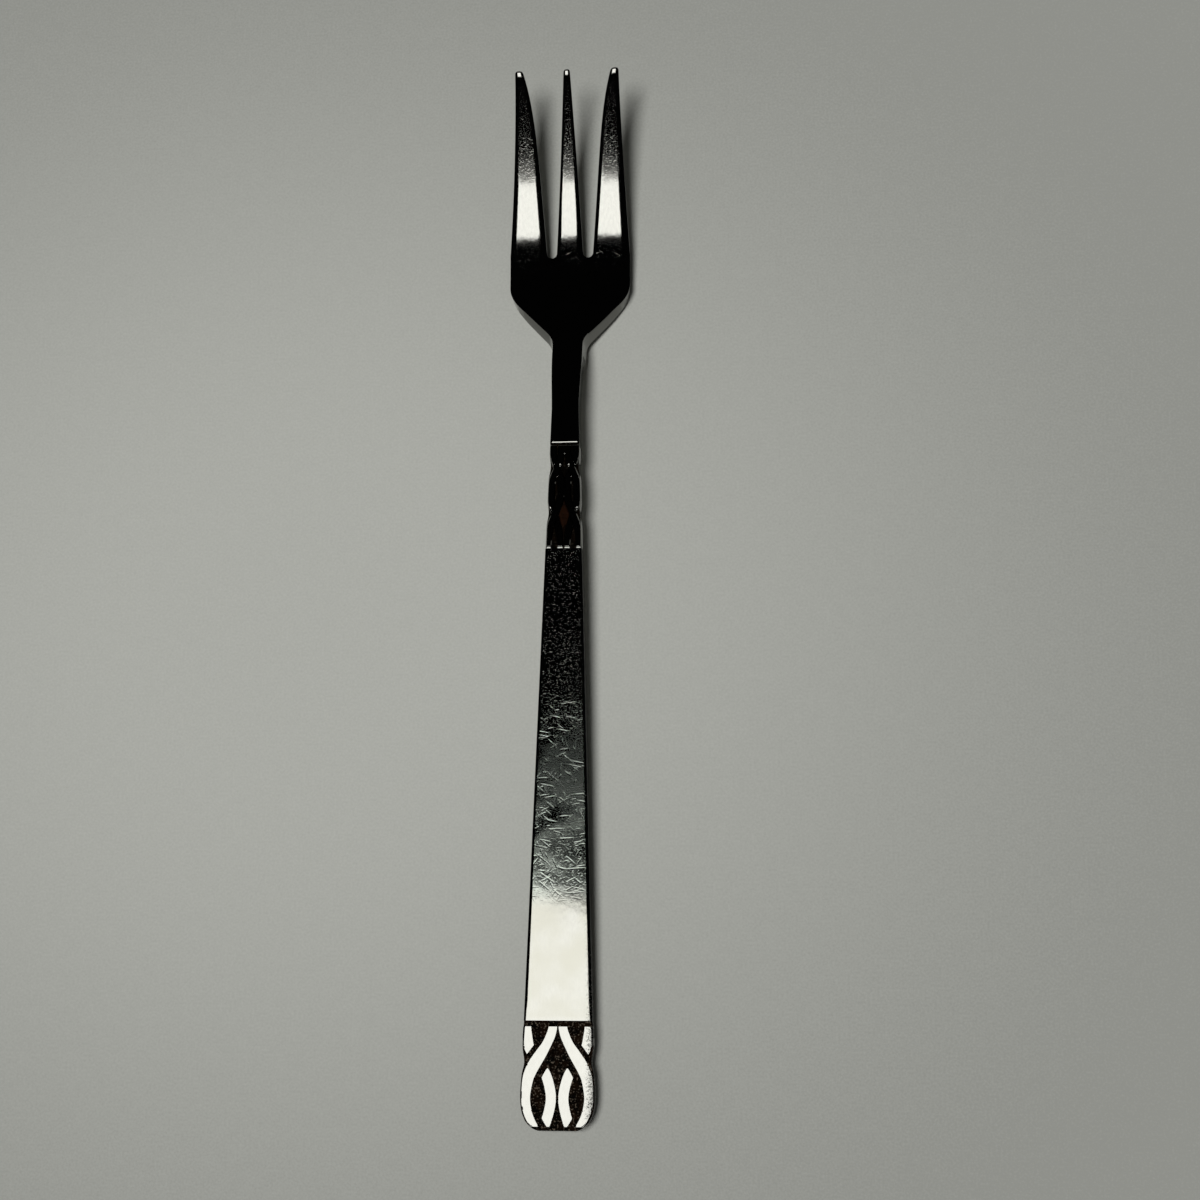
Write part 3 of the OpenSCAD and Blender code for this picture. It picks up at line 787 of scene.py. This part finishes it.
def enamelFinish():
    look = enamelLook
    material, start, place = newFinish("stippledEnamel")
    x, along, _ = place.split()
    pebble = place.noise(look["pebble"])
    onNeck = along.step(*look["neckFrom"])  # plainer there, with a trace of rust in one diamond
    a, b, c, d = look["rustY"]
    rust = along.step(a, b) * along.fade(c, d) * place.spots(*look["rustSpots"])
    rust = rust * start.maths("ABSOLUTE", x).fade(*look["rustX"])
    ground = place.spots(*look["brownSpots"]).blend(look["dark"], look["brown"])
    calm = onNeck * look["calm"]
    # lighter flecks on the pebbles' high points: partly worn steel showing through, partly painted glints
    tone = (pebble.step(*look["flecks"]) * (1 - calm)).blend(ground, look["wearAndGlint"])
    tone = calm.blend(tone, look["dark"])
    tone = (onNeck * rust).blend(tone, look["rust"])
    bump = start.node("ShaderNodeBump", None, {"Strength": 1.0, "Distance": look["relief"], "Height": pebble})
    rough = look["rough"] + place.spots(*look["dullSpots"]) * look["duller"]
    shader = start.node("ShaderNodeBsdfPrincipled", None,
                        {"Base Color": tone, "Roughness": rough, "Normal": bump,
                         "Specular IOR Level": look["shine"]})
    start.node("ShaderNodeOutputMaterial", None, {"Surface": shader})
    return material


steelFork.data.materials.append(steelFinish())
darkFill = enamelFinish()
for piece in (endEnamel, neckEnamel):
    piece.data.materials.append(darkFill)

for piece, node, slot in ((steelFork, "steel_fork", "steel"), (endEnamel, "end_panel_enamel", "enamel"),
                          (neckEnamel, "neck_panel_enamel", "enamel")):
    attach(piece, "root")
    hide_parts(node)
print("finishes set")


# Grey paper on the table, painted lighter round one point as a pool of light
paperLook = {
    "tone": (0.4165, 0.4217, 0.389, 1), "far": (0.273, 0.277, 0.255, 1), "size": 6.0, "drop": 0.00002,
    "middle": (-0.0393, -0.0035, 0), "spread": (1.18, 1, 1), "fade": (0.017, 0.125, 0.15, 1.0),
    "fine": (3000, 0.60), "coarse": (500, 0.12), "grainMean": 0.36, "rough": 0.95, "shine": 0.1,
}


def layPaper():
    bm = bmesh.new()
    bmesh.ops.create_grid(bm, x_segments=1, y_segments=1, size=paperLook["size"])
    bmesh.ops.translate(bm, vec=(0, 0, -paperLook["drop"]), verts=bm.verts[:])
    mesh = bpy.data.meshes.new("paper")
    bm.to_mesh(mesh)
    bm.free()
    paper = bpy.data.objects.new("paper", mesh)
    scene.collection.objects.link(paper)
    material, start, place = newFinish("greyPaper")
    moved = start.node("ShaderNodeMapping", {"vector_type": "TEXTURE"},
                       {"Vector": place, "Location": paperLook["middle"], "Scale": paperLook["spread"]})
    lightPoolDistance = start.node("ShaderNodeVectorMath", {"operation": "LENGTH"}, {0: moved}, "Value")
    (fine, much), (coarse, little) = paperLook["fine"], paperLook["coarse"]
    grain = place.noise(fine) * much + place.noise(coarse) * little - paperLook["grainMean"]
    # lighter near the middle point and darker away from it: a painted pool of light
    tone = lightPoolDistance.step(*paperLook["fade"]) + grain
    tone = tone.blend(paperLook["tone"], paperLook["far"])
    shader = start.node("ShaderNodeBsdfPrincipled", None,
                        {"Base Color": tone, "Roughness": paperLook["rough"],
                         "Specular IOR Level": paperLook["shine"]})
    start.node("ShaderNodeOutputMaterial", None, {"Surface": shader})
    mesh.materials.append(material)


layPaper()

# Room: dark overhead and to the sides, one soft window above on the left, a pale wall towards -Y
room = {
    "ceiling": (0.0007, 0.0007, 0.0007, 1), "wall": (0.85, 0.86, 0.82, 1), "window": (1.14, 1.14, 1.07, 1),
    "fill": (0.075, 0.075, 0.073, 1), "wallY": (-0.65, -0.40), "wallZ": (0.36, 0.46, 0.70, 0.86),
    "windowX": (-0.215, -0.085), "windowY": (-0.074, 0.0372), "windowZ": (0.3, 0.4),
    "slant": 0.10, "slantX": -0.13, "soft": 0.004, "horizon": 0.02,
}


def buildRoom():
    world = bpy.data.worlds.new("room")
    world.use_nodes = True
    world.node_tree.nodes.clear()
    scene.world = world
    start = Wire(world.node_tree)
    way = start.node("ShaderNodeTexCoord", output="Generated")
    x, y, z = way.split()
    up = start.maths("MAXIMUM", z, room["horizon"])
    across, along = x / up, y / up
    s = room["soft"]

    def between(v, low, high):
        return v.step(low - s, low + s) * (1 - v.step(high - s, high + s))
    low, high = room["windowY"]
    slanted = along + (across - room["slantX"]) * room["slant"]  # its far edge runs askew
    window = between(across, *room["windowX"]) * along.step(low - 2 * s, low + 2 * s)
    window = window * slanted.fade(high - s, high + s) * z.step(*room["windowZ"])
    foot, low, high, top = room["wallZ"]
    wall = y.fade(*room["wallY"]) * z.step(foot, low) * z.fade(high, top)
    tone = wall.blend(room["ceiling"], room["wall"])
    tone = window.blend(tone, room["window"])
    path = start.node("ShaderNodeLightPath", output="Is Diffuse Ray")
    shader = start.node("ShaderNodeBackground", None, {"Color": path.blend(tone, room["fill"])})
    start.node("ShaderNodeOutputWorld", None, {"Surface": shader})


buildRoom()

keyLight = {"from": (-0.240, -0.075, 1.0), "strength": 3.02, "soft": 24.0}


def hangKey():
    lamp = bpy.data.lights.new("key", "SUN")
    lamp.energy = keyLight["strength"]
    lamp.angle = math.radians(keyLight["soft"])
    key = bpy.data.objects.new("key", lamp)
    key.rotation_euler = Vector(keyLight["from"]).to_track_quat("Z", "Y").to_euler()
    key.visible_glossy = False  # the steel sees the window instead
    scene.collection.objects.link(key)


hangKey()

shot = {"aim": (0.0048, -0.00203, 0.0004), "tilt": 12.5, "swing": 7.0, "roll": 0.67,
        "distance": 0.33, "lens": 69.32, "sensor": 36.0, "near": 0.01}


def setCamera():
    data = bpy.data.cameras.new("camera")
    data.lens = shot["lens"]
    data.sensor_width = shot["sensor"]
    data.sensor_fit = "HORIZONTAL"
    data.clip_start = shot["near"]
    camera = bpy.data.objects.new("camera", data)
    scene.collection.objects.link(camera)
    swing, tilt = math.radians(shot["swing"]), math.radians(shot["tilt"])
    back = Vector((math.tan(swing), -math.tan(tilt), 1)).normalized()
    right = Vector((0, 1, 0)).cross(back).normalized()
    turn = Matrix.Rotation(math.radians(shot["roll"]), 3, back)
    right = turn @ right
    up = back.cross(right)
    matrix = Matrix((right, up, back)).transposed().to_4x4()
    matrix.translation = Vector(shot["aim"]) + shot["distance"] * back
    camera.matrix_world = matrix
    scene.camera = camera


setCamera()
print("room, key light and camera set")
